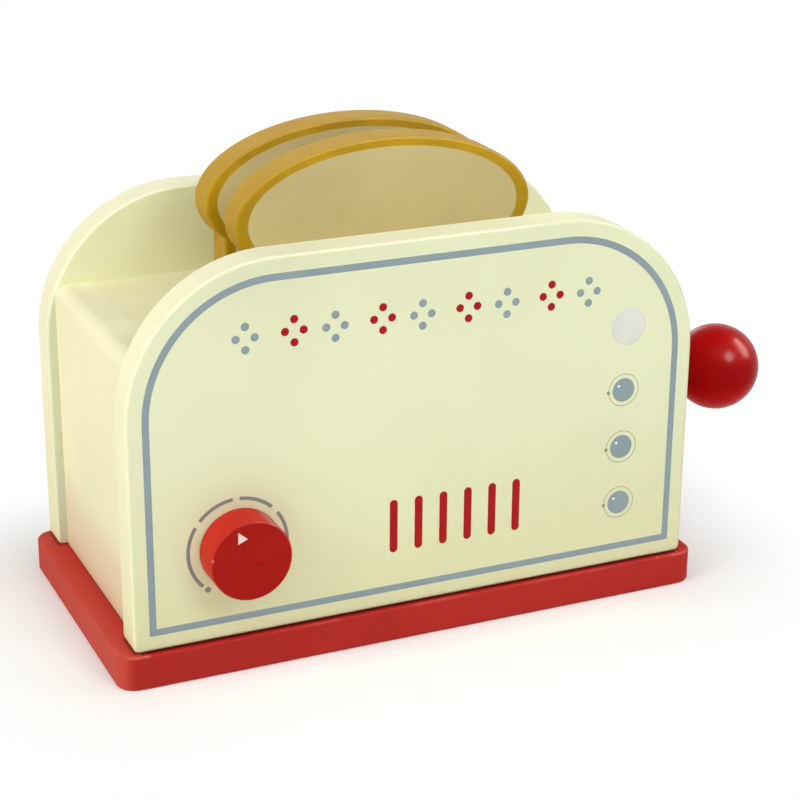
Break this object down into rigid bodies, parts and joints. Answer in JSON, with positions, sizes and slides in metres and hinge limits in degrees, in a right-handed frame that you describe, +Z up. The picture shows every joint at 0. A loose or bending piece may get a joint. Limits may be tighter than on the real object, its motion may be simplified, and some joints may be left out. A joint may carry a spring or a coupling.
{
  "type": "toy toaster",
  "caption": "Wooden play toaster with removable toast slices on a spring-loaded lift, a ball lever at its end and a turning dial on its printed front.",
  "frame": {"origin": "middle of the base board's underside", "axes": "+X along the toaster towards the lever ball, +Y from the front panel to the back panel, +Z up"},
  "size_m": [0.2648, 0.1158, 0.1635],
  "materials": {
    "cream_paint": "satin painted fibreboard",
    "red_paint": "satin painted wood, worn at the edges",
    "gloss_red_paint": "gloss painted turned wood",
    "toast_paint": "matt painted fibreboard",
    "bare_wood": "fine-sanded bare hardwood",
    "steel": "zinc-plated steel"
  },
  "bodies": {
    "root": {"base_board": "red_paint", "front_panel": "cream_paint", "back_panel": "cream_paint", "left_end_board": "cream_paint", "right_end_board": "cream_paint", "top_board": "cream_paint", "guide_post_left": "bare_wood", "guide_post_right": "bare_wood", "return_spring_left": "steel", "return_spring_right": "steel", "front_panel_dowels": "bare_wood", "back_panel_dowels": "bare_wood", "top_board_dowels": "bare_wood", "base_screws": "steel"},
    "lift": {"lift_bar": "bare_wood", "lever_rod": "bare_wood", "lever_ball": "gloss_red_paint", "rod_screw": "steel"},
    "dial": {"dial_knob": "red_paint", "dial_axle_screw": "steel", "dial_washer": "steel"},
    "toast_front": {"toast_front": "toast_paint"},
    "toast_back": {"toast_back": "toast_paint"}
  },
  "joints": [
    {"name": "lever_slide", "type": "slide", "parent": "root", "child": "lift", "axis": [0, 0, 1], "range_m": [-0.03, 0], "stiffness_N_per_m": 100, "springref_m": 0.04, "deforming": ["return_spring_left", "return_spring_right"]},
    {"name": "dial_turn", "type": "hinge", "parent": "root", "child": "dial", "pos_m": [-0.064, -0.05075, 0.0432], "axis": [0, 1, 0], "continuous": true},
    {"name": "toast_front_lift", "type": "slide", "parent": "lift", "child": "toast_front", "axis": [0, 0, 1], "range_m": [0, 0.1]},
    {"name": "toast_back_lift", "type": "slide", "parent": "lift", "child": "toast_back", "axis": [0, 0, 1], "range_m": [0, 0.1]}
  ]
}
